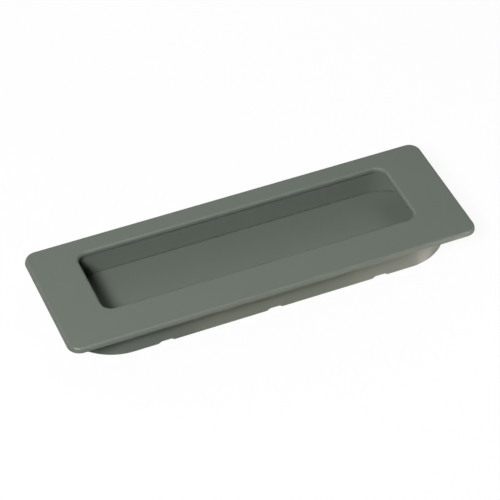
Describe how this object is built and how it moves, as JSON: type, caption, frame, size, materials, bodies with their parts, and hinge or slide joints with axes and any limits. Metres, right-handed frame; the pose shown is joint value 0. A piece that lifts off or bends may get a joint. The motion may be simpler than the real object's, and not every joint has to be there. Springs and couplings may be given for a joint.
{
  "type": "recessed pull",
  "caption": "Recessed pull for a cabinet or sliding door: flat flange, offset rectangular opening and a round-ended finger recess undercut behind a wide lip, closed by a back plate",
  "frame": {"origin": "centre of the pull in plan, at the height of the back rim that it lies on", "axes": "+X along the pull, +Y towards the long side with the narrow lip, +Z out of the panel towards the hand"},
  "size_m": [0.15, 0.0504, 0.014],
  "materials": {
    "painted_casting": "matt grey-green powder coat with a fine even grain",
    "painted_plate": "the same matt grey-green powder coat"
  },
  "bodies": {
    "root": {"housing": "painted_casting", "back_plate": "painted_plate"}
  },
  "joints": []
}
